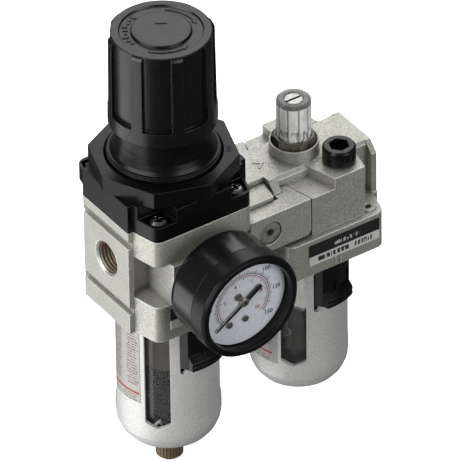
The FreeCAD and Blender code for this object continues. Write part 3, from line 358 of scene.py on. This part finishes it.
def cast_alloy():
    """Die-cast aluminium with a matt clear finish: fine grain, painted highlight on the edges, painted shade
    in the creases.
    """
    look = Look("cast_alloy", (0.5, 0.495, 0.46), 0.5, 0.42)
    round_normal = look.rounded(0.6 * MM)
    patch = look.mottle(160.0, 5.0, (0.35, (0.515, 0.515, 0.475)), (0.7, (0.56, 0.56, 0.52)))
    speck = look.mottle(2100.0, 2.0, (0.4, (0.58, 0.57, 0.52)), (0.6, WHITE))
    grained = look.mix(0.85, patch, speck, "MULTIPLY")
    # painted shade: the colour darkens in creases and corners, from ambient occlusion
    open_face = look.hollow(2.5 * MM)
    painted_crease_shade = look.ramp(open_face, (0.35, (0.3, 0.29, 0.26)), (0.85, WHITE))
    shaded = look.mix(0.8, grained, painted_crease_shade, "MULTIPLY")
    # painted highlight: open sharp edges are lightened towards a light grey
    painted_rim = look.times(look.edge(round_normal, 0.13), look.math("POWER", open_face, 3.0))
    with_painted_edge_highlight = look.mix(painted_rim, shaded, (0.95, 0.95, 0.92))
    threads, groove_shade_mask = port_threads(look)
    # threads: the brown crests are their own colour; the near-black grooves are painted shade
    thread_colour_and_groove_shade = look.mix(groove_shade_mask, (0.36, 0.27, 0.2), (0.012, 0.01, 0.008))
    look.set("Base Color", look.mix(look.times(threads, 0.92), with_painted_edge_highlight, thread_colour_and_groove_shade))
    look.wear(0.36, 0.5, 500.0)
    look.bump(look.noise(2100.0, 3.0), 0.05 * MM, 0.4, round_normal)
    return look.material


def guard_metal():
    """Spun steel cup with a fine silver coat."""
    look = Look("guard_metal", (0.66, 0.66, 0.65), 0.35, 0.45)
    round_normal = look.rounded(0.3 * MM)
    speck = look.mottle(2800.0, 2.0, (0.38, (0.54, 0.535, 0.525)), (0.62, (0.74, 0.735, 0.725)))
    # painted highlight: sharp edges are lightened towards a light grey
    look.set("Base Color", look.mix(look.times(look.edge(round_normal), 0.6), speck, (0.9, 0.9, 0.88)))
    look.wear(0.4, 0.55, 300.0)
    look.bump(look.noise(2800.0, 2.0), 0.03 * MM, 0.2, round_normal)
    return look.material


def plated_steel(name, color, rough):
    """Plated or bare metal with small dull spots and sockets darkened with painted shade."""
    look = Look(name, color, 1.0, rough)
    dull = tuple(c * 0.6 for c in color)
    grain = look.mottle(900.0, 4.0, (0.3, dull), (0.6, color))
    # painted shade: sockets and creases darken, from ambient occlusion
    painted_socket_shade = look.ramp(look.hollow(1.6 * MM), (0.45, WHITE), (0.85, BLACK))
    look.set("Base Color", look.mix(painted_socket_shade, grain, tuple(c * 0.12 for c in color)))
    look.wear(rough - 0.05, rough + 0.15, 1500.0)
    look.bump(look.noise(2500.0, 3.0), 0.03 * MM, 0.4, look.rounded(0.2 * MM))
    return look.material


# ---------------------------------------------------------------- plastics and rubber
def moulded_black(name, shade, rough, grain, shine):
    """Glass-filled black plastic: faint texture and a slight painted highlight on its open edges."""
    look = Look(name, (shade, shade, shade), 0.0, rough, Specular_IOR_Level=shine)
    round_normal = look.rounded(0.4 * MM)
    tone = look.mottle(220.0, 4.0, (0.3, (shade * 0.7,) * 3), (0.75, (shade * 1.3,) * 3))
    # painted highlight: open sharp edges are lightened towards a dark grey
    pale = look.times(look.edge(round_normal), look.math("POWER", look.hollow(2.0 * MM), 3.0))
    look.set("Base Color", look.mix(look.times(pale, 0.5), tone, (0.06, 0.06, 0.06)))
    look.wear(rough - 0.05, rough + 0.08, 400.0)
    look.bump(look.noise(1900.0, 4.0), 0.05 * MM, grain, round_normal)
    return look.material


def gloss_black(name, rough, shine):
    """Lacquered black gauge case with a little orange peel."""
    look = Look(name, (0.004, 0.004, 0.004), 0.0, rough, Specular_IOR_Level=shine)
    look.wear(rough - 0.05, rough + 0.06, 260.0)
    look.set("Base Color", look.mottle(90.0, 3.0, (0.35, (0.003,) * 3), (0.7, (0.006,) * 3)))
    look.bump(look.noise(500.0, 2.0), 0.04 * MM, 0.2, look.rounded(0.5 * MM))
    return look.material


def soft_rubber():
    """Dull black seals."""
    look = Look("seal_rubber", (0.015, 0.015, 0.016), 0.0, 0.7)
    look.set("Base Color", look.mottle(400.0, 3.0, (0.3, (0.01, 0.01, 0.011)), (0.8, (0.03, 0.03, 0.032))))
    look.bump(look.noise(1500.0), 0.05 * MM, 0.4)
    return look.material


def olive_seat():
    """Tinted hexagon seat of the dome."""
    look = Look("olive_seat", (0.1, 0.09, 0.065), 0.1, 0.2)
    tone = look.mottle(260.0, 3.0, (0.35, (0.06, 0.055, 0.04)), (0.65, (0.16, 0.145, 0.11)))
    round_normal = look.rounded(0.4 * MM)
    # painted highlight: sharp edges are lightened towards a light grey
    look.set("Base Color", look.mix(look.times(look.edge(round_normal), 0.7), tone, (0.6, 0.58, 0.5)))
    look.wear(0.15, 0.3, 500.0)
    look.bump(look.noise(900.0), 0.05 * MM, 0.2, round_normal)
    return look.material


def sintered_filter():
    """Fine-grained porous cartridge."""
    look = Look("filter_medium", (0.42, 0.36, 0.3), 0.0, 0.9)
    look.set("Base Color", look.mottle(1600.0, 2.0, (0.3, (0.38, 0.33, 0.27)), (0.7, (0.46, 0.4, 0.32))))
    look.bump(look.noise(1600.0, 2.0), 0.03 * MM, 0.3)
    return look.material


def moulded_tan():
    """Drain knob: warm tan plastic with painted shade that darkens the grooves of its knurl."""
    look = Look("drain_tan", (0.4, 0.29, 0.16), 0.0, 0.45)
    x, y, _ = look.axes()
    low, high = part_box("drain_cock")
    hub = middle("drain_cock")
    away = look.distance(look.math("SUBTRACT", x, hub.x), look.math("SUBTRACT", y, hub.y))
    depth = look.math("DIVIDE", away, (high.x - low.x) / 2)
    # painted shade: the colour darkens deep in the knurl's grooves, towards the axis
    look.set("Base Color", look.ramp(depth, (0.91, (0.03, 0.02, 0.01)), (0.98, (0.12, 0.085, 0.045))))
    look.bump(look.noise(1500.0), 0.05 * MM, 0.4)
    return look.material


def moulded_white():
    """Siphon tube."""
    look = Look("white_plastic", (0.75, 0.74, 0.7), 0.0, 0.4)
    look.set("Base Color", look.mottle(200.0, 3.0, (0.3, (0.68, 0.67, 0.62)), (0.7, (0.8, 0.79, 0.76))))
    look.bump(look.noise(1500.0), 0.04 * MM, 0.3)
    return look.material


# ---------------------------------------------------------------- clear parts
def clear_plastic(name, tint, rough, haze):
    """Clear moulding with a faint tint and slight surface waviness."""
    look = Look(name, tint, 0.0, rough, IOR=1.42, Transmission_Weight=1.0 - haze)
    look.set("Base Color", look.mottle(60.0, 3.0, (0.3, tuple(c * 0.9 for c in tint)), (0.7, tint)))
    look.bump(look.noise(120.0, 2.0), 0.1 * MM, 0.15)
    return look.material


def lens_glass():
    """Gauge window: hardly visible but for its reflections."""
    look = Look("lens_glass", (0.02, 0.02, 0.025), 0.0, 0.04, Alpha=0.05)
    look.set("Base Color", look.mottle(30.0, 3.0, (0.3, (0.02, 0.02, 0.02)), (0.7, (0.04, 0.04, 0.05))))
    return look.material


DOME_RIBS = 10
DOME_CAP = 1.6 * MM
DOME_RIM_INSIDE = 2.9 * MM
DOME_FOOT = 8.5 * MM


def sight_glass():
    """Clear dome with its light painted on: bright painted highlight bands between thin dark lines of painted
    shade at the ribs, the cap's outer ring painted dark as shade, and painted dark streaks that break up the
    foot.
    """
    look = Look("sight_glass", (0.6, 0.6, 0.58), 0.0, 0.06)
    low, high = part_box("sight_dome")
    x, y, z = look.axes()
    east = look.math("SUBTRACT", x, middle("sight_dome").x)
    turn = look.times(look.math("ARCTAN2", y, east), DOME_RIBS / 2)
    ribs = look.math("ABSOLUTE", look.math("SINE", turn))
    # painted light: bright highlight bands between thin dark lines of shade at the inner ribs
    rib_highlight_and_shade = look.ramp(ribs, (0.05, (0.04, 0.04, 0.035)), (0.16, (0.7, 0.7, 0.66)), (0.5, (1.0, 1.0, 0.98)))
    # painted shade: vertical dark streaks over the dome, strongest at the foot
    streak_noise = look.noise(1.0, 2.0, 0.6, (700.0, 700.0, 160.0))
    painted_streak_shade = look.ramp(streak_noise, (0.4, (0.3, 0.3, 0.27)), (0.52, WHITE))
    foot = look.below(z, low.z + DOME_FOOT)
    body = look.mix(look.math("ADD", 0.25, look.times(foot, 0.7)), rib_highlight_and_shade, painted_streak_shade, "MULTIPLY")
    cap = look.above(z, high.z - DOME_CAP)
    # painted shade: the cap's outer ring is made near-black and more opaque
    painted_rim = look.times(cap, look.above(look.distance(east, y), DOME_RIM_INSIDE))
    look.set("Base Color", look.mix(look.times(painted_rim, 0.92), body, (0.07, 0.07, 0.065)))
    wall = look.math("SUBTRACT", 0.9, look.times(cap, 0.65))
    look.set("Alpha", look.math("MINIMUM", look.math("ADD", wall, look.times(painted_rim, 0.45)), 0.95))
    look.bump(ribs, 0.2 * MM, 0.4)
    return look.material


# ---------------------------------------------------------------- gauge
def enamel_dial():
    """White dial with a faint blue cast and mottled print base."""
    look = Look("dial_enamel", (0.8, 0.83, 0.88), 0.0, 0.55)
    look.set("Base Color", look.mottle(700.0, 3.0, (0.3, (0.74, 0.77, 0.83)), (0.7, (0.88, 0.91, 0.96))))
    look.bump(look.noise(1800.0), 0.02 * MM, 0.3)
    return look.material


POINTER_HUB = 1.95 * MM
POINTER_PIT = 0.6 * MM


def pointer_paint():
    """Black hand whose hub is left as bare metal."""
    paint_black = (0.01, 0.01, 0.01)
    look = Look("pointer_paint", paint_black, 0.0, 0.35)
    x, _, z = look.axes()
    hub = middle("gauge_dial")
    away = look.distance(look.math("SUBTRACT", x, hub.x), look.math("SUBTRACT", z, hub.z))
    metal = look.below(away, POINTER_HUB)
    bare = look.mix(look.below(away, POINTER_PIT), (0.62, 0.58, 0.5), (0.05, 0.04, 0.03))
    look.set("Metallic", metal)
    look.set("Base Color", look.mix(metal, paint_black, bare))
    look.bump(look.noise(1500.0), 0.02 * MM, 0.3)
    return look.material


# ---------------------------------------------------------------- print on plates and films
def two_tone_label(node):
    """Black plate over a white strip, both with rows of plain print marks."""
    low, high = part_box(node)
    look = Look(node + "_print", (0.02, 0.02, 0.02), 0.0, 0.4)
    x, _, z = look.axes()
    rise = look.share(z, low.z, high.z)
    run = look.share(x, low.x, high.x)
    stroke = look.above(look.noise(1.0, 0.0, 0.5, (1100.0, 1.0, 160.0)), 0.5)
    dark_marks = look.times(look.between(rise, 0.12, 0.34), look.between(run, 0.12, 0.92), stroke)
    light_marks = look.times(look.between(rise, 0.6, 0.78), look.between(run, 0.36, 0.72), stroke)
    paper = look.mix(dark_marks, (0.62, 0.62, 0.6), (0.03, 0.03, 0.03))
    plate = look.mix(light_marks, (0.012, 0.012, 0.012), (0.5, 0.5, 0.5))
    look.set("Base Color", look.mix(look.below(rise, 0.44), plate, paper))
    look.bump(look.noise(900.0), 0.02 * MM, 0.3)
    return look.material


# heights over the sticker's lower edge
ROW_PITCH = 1.25 * MM
TEXT_FOOT = 7.6 * MM
LEVEL_LINE = 4.3 * MM
LEVEL_HALF_WIDE = 0.45 * MM
CAPTION_TOP = 3.2 * MM
# turns round the bowl's axis, in degrees
TEXT_COLUMNS = ((-15.5, -1.0), (7.5, 22.0))
CAPTION_COLUMN = (2.0, 21.0)
LEVEL_END = 24.0
RAGGED_FROM = 5.0
RAGGED_WIDE = 9.0
# steps through the noise
ROW_STEP = 3.7
STROKE_STEP = 1.1


def printed_film(node, axis_x):
    """Thin film round a bowl guard: two ragged columns of red print marks over a red level line."""
    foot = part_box(node)[0].z
    look = Look(node + "_print", (0.6, 0.59, 0.57), 0.2, 0.4)
    x, y, z = look.axes()
    around = look.math("ARCTAN2", look.times(y, -1.0), look.math("SUBTRACT", axis_x, x))
    turn = look.times(around, 180 / math.pi)
    climb = look.times(z, 1.0 / ROW_PITCH)
    row = look.math("FLOOR", climb)
    in_row = look.below(look.math("FRACT", climb), 0.5)

    def ragged(stretch, seed):
        """Noise along the turn that differs from row to row."""
        spot = look.node("CombineXYZ")
        look.link(look.times(turn, stretch), spot.inputs[0])
        look.link(look.times(row, ROW_STEP), spot.inputs[1])
        spot.inputs[2].default_value = seed
        words = look.node("TexNoise")
        words.inputs["Scale"].default_value = 1.0
        words.inputs["Detail"].default_value = 1.0
        look.link(spot.outputs[0], words.inputs["Vector"])
        return words.outputs["Fac"]

    def column(start, end):
        """Print between two turns, with a ragged right edge."""
        limit = look.math("ADD", end - RAGGED_FROM, look.times(ragged(0.0, start), RAGGED_WIDE))
        return look.between(turn, start, limit)

    marks = look.times(in_row, look.ramp(ragged(STROKE_STEP, 0.0), (0.42, BLACK), (0.5, WHITE)))
    columns = look.math("MAXIMUM", *(column(*ends) for ends in TEXT_COLUMNS))
    text = look.times(marks, columns, look.above(z, foot + TEXT_FOOT))
    off_line = look.math("ABSOLUTE", look.math("SUBTRACT", z, foot + LEVEL_LINE))
    level = look.times(look.below(off_line, LEVEL_HALF_WIDE), look.below(turn, LEVEL_END))
    caption = look.times(marks, column(*CAPTION_COLUMN), look.below(z, foot + CAPTION_TOP))
    print_cover = look.times(look.math("MAXIMUM", text, caption), 0.85)
    film = look.mottle(2800.0, 2.0, (0.38, (0.32, 0.31, 0.3)), (0.62, (0.46, 0.45, 0.44)))
    printed = look.mix(print_cover, film, (0.1, 0.02, 0.02))
    look.set("Base Color", look.mix(level, printed, (0.36, 0.012, 0.016)))
    look.bump(look.noise(600.0), 0.03 * MM, 0.2)
    return look.material


# ---------------------------------------------------------------- dial print
ZERO_ANGLE = 217.0
SCALE_SWEEP = 258.0
INK_LIFT = 0.03 * MM
DIGIT_LIFT = 0.04 * MM


def ink(name, color):
    """Printing ink, a little uneven."""
    look = Look(name, color, 0.0, 0.6)
    look.set("Base Color", look.mottle(1500.0, 3.0, (0.3, tuple(c * 0.7 for c in color)), (0.7, color)))
    return look.material


def dial_point(radius, angle, lift):
    """Point over the dial; the angle is counted from +X towards +Z, seen from the front."""
    hub = middle("gauge_dial")
    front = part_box("gauge_dial")[0].y
    return Vector((hub.x + radius * math.cos(angle), front - lift, hub.z + radius * math.sin(angle)))


def scale_angle(share):
    """Angle of a scale value given as a share of full scale: zero at lower left, clockwise."""
    return math.radians(ZERO_ANGLE - SCALE_SWEEP * share)


def keep_on_dial(piece):
    """The dial stands still, so its print belongs to the fixed body."""
    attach(piece, "housing")


def flat_piece(name, faces, material):
    """Thin printed layer: each face is a list of corners, given a little depth."""
    mesh = bpy.data.meshes.new(name)
    points = [tuple(p) for face in faces for p in face]
    polygons = []
    start = 0
    for face in faces:
        polygons.append(list(range(start, start + len(face))))
        start += len(face)
    mesh.from_pydata(points, [], polygons)
    mesh.materials.append(material)
    piece = add_object(name, mesh)
    solid = piece.modifiers.new("depth", "SOLIDIFY")
    solid.thickness = 0.02 * MM
    solid.offset = 0.0
    keep_on_dial(piece)


def tick(share, inner, outer, half_wide):
    """Four corners of one scale mark."""
    angle = scale_angle(share)
    out = Vector((math.cos(angle), 0, math.sin(angle)))
    across = Vector((-math.sin(angle), 0, math.cos(angle))) * half_wide
    start = dial_point(inner, angle, INK_LIFT)
    end = start + out * (outer - inner)
    return [start - across, end - across, end + across, start + across]


def arc_strip(inner, outer, steps=60):
    """Line along the whole scale, in short straight pieces."""
    faces = []
    for number in range(steps):
        a = scale_angle(number / steps)
        b = scale_angle((number + 1) / steps)
        faces.append([dial_point(inner, a, INK_LIFT), dial_point(outer, a, INK_LIFT),
                      dial_point(outer, b, INK_LIFT), dial_point(inner, b, INK_LIFT)])
    return faces


def dial_number(name, value, share, radius, height, material):
    """Upright figure on the dial."""
    curve = bpy.data.curves.new(name, "FONT")
    curve.body = str(value)
    curve.size = height
    curve.align_x = "CENTER"
    curve.align_y = "CENTER"
    curve.extrude = 0.01 * MM
    curve.offset = 0.05 * MM
    text_object = add_object(name + "_text", curve)
    bpy.context.view_layer.update()
    mesh = bpy.data.meshes.new_from_object(text_object)
    bpy.data.objects.remove(text_object)
    mesh.materials.clear()
    mesh.materials.append(material)
    piece = add_object(name, mesh)
    piece.rotation_euler = (math.radians(90), 0, 0)
    piece.location = dial_point(radius, scale_angle(share), DIGIT_LIFT)
    keep_on_dial(piece)


def scale_marks(divisions, reach, fine_reach, half_wide, fine_half_wide):
    """Marks of one scale: every fifth is the long, wide one. A reach is (inner, outer) in mm."""
    marks = []
    for number in range(divisions + 1):
        coarse = number % 5 == 0
        inner, outer = reach if coarse else fine_reach
        marks.append(tick(number / divisions, inner * MM, outer * MM,
                          (half_wide if coarse else fine_half_wide) * MM))
    return marks


def print_dial():
    """Outer dark scale to 150 and inner red scale to 10, with their figures."""
    dark = ink("dial_ink_dark", (0.03, 0.05, 0.11))
    red = ink("dial_ink_red", (0.42, 0.05, 0.04))
    outer = scale_marks(75, (11.7, 13.3), (11.7, 12.7), 0.13, 0.08)
    flat_piece("dial_scale_outer", outer + arc_strip(11.55 * MM, 11.8 * MM), dark)
    inner = scale_marks(50, (9.7, 10.9), (10.2, 10.9), 0.11, 0.07)
    flat_piece("dial_scale_inner", inner + arc_strip(10.8 * MM, 11.05 * MM), red)
    for value in range(0, 151, 25):
        dial_number("dial_outer_%d" % value, value, value / 150, 15.0 * MM, 2.5 * MM, dark)
    for value in range(0, 11, 2):
        dial_number("dial_inner_%d" % value, value, value / 10, 8.3 * MM, 2.2 * MM, red)


# ---------------------------------------------------------------- dress the CAD nodes
def paint(material, *names):
    for name in names:
        mesh = nodes[name].data
        mesh.materials.clear()
        mesh.materials.append(material)


def paint_metals():
    paint(cast_alloy(), "regulator_body", "lubricator_body", "spacer", "front_clamp", "rear_clamp")
    paint(guard_metal(), "filter_bowl_guard", "lubricator_bowl_guard")
    paint(plated_steel("bright_screw", (0.62, 0.62, 0.62), 0.16), "bonnet_screws")
    paint(plated_steel("clamp_screw_steel", (0.58, 0.56, 0.51), 0.45), "clamp_screws")
    paint(plated_steel("zinc_steel", (0.6, 0.6, 0.6), 0.3), "adjusting_screw", "spring_nut",
          "main_spring", "diaphragm_plate", "valve_spring", "valve_guide", "filter_button_spring",
          "lubricator_button_spring", "check_ball", "siphon_filter")
    paint(plated_steel("bare_brass", (0.5, 0.38, 0.2), 0.32), "valve_poppet", "gauge_socket",
          "bourdon_tube", "drip_tube")
    paint(plated_steel("dial_screw_metal", (0.6, 0.56, 0.48), 0.28), "dial_screws")
    paint(plated_steel("bright_drip_screw", (0.55, 0.55, 0.53), 0.4), "drip_adjust_screw")


def paint_plastics():
    paint(moulded_black("black_knob", 0.003, 0.28, 0.12, 0.42), "knob")
    paint(moulded_black("black_bonnet", 0.003, 0.28, 0.12, 0.22), "bonnet", "panel_nut")
    paint(moulded_black("black_button", 0.003, 0.22, 0.12, 0.35), "filter_lock_button",
          "lubricator_lock_button", "oil_fill_plug", "deflector", "baffle")
    paint(olive_seat(), "dome_seat")
    paint(soft_rubber(), "diaphragm", "filter_bowl_seal", "lubricator_bowl_seal", "drain_seal",
          "spacer_seals", "fill_plug_seal", "dome_seal", "flow_damper")
    paint(clear_plastic("smoke_bowl", (0.5, 0.49, 0.48), 0.04, 0.04), "filter_bowl", "lubricator_bowl")
    paint(sight_glass(), "sight_dome")
    paint(moulded_white(), "siphon_tube")
    paint(sintered_filter(), "filter_element")
    paint(moulded_tan(), "drain_cock")


def paint_gauge():
    paint(gloss_black("gauge_lacquer", 0.2, 0.5), "gauge_case")
    paint(gloss_black("bezel_black", 0.3, 0.25), "gauge_bezel")
    paint(enamel_dial(), "gauge_dial")
    paint(pointer_paint(), "gauge_pointer")
    paint(lens_glass(), "gauge_lens")


def paint_print():
    for node in ("regulator_label", "lubricator_label"):
        paint(two_tone_label(node), node)
    paint(printed_film("filter_sticker", middle("knob").x), "filter_sticker")
    paint(printed_film("lubricator_sticker", middle("lubricator_bowl").x), "lubricator_sticker")


def flexing_springs():
    """A copy of each deforming coil spring, carried by its joint's parent body, takes the place of the rigid
    one.
    """
    for joint in frame["record"]["behaviour"]["joints"]:
        for soft in joint.get("deforming_nodes", []):
            node = soft["node"]
            if not node.endswith("_spring"):
                continue
            piece = add_object(node + "_coil", nodes[node].data.copy())
            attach(piece, joint["parent"])
            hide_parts(node)
            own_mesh(piece)


make_camera()
make_studio()
paint_metals()
paint_plastics()
paint_gauge()
paint_print()
print_dial()
flexing_springs()
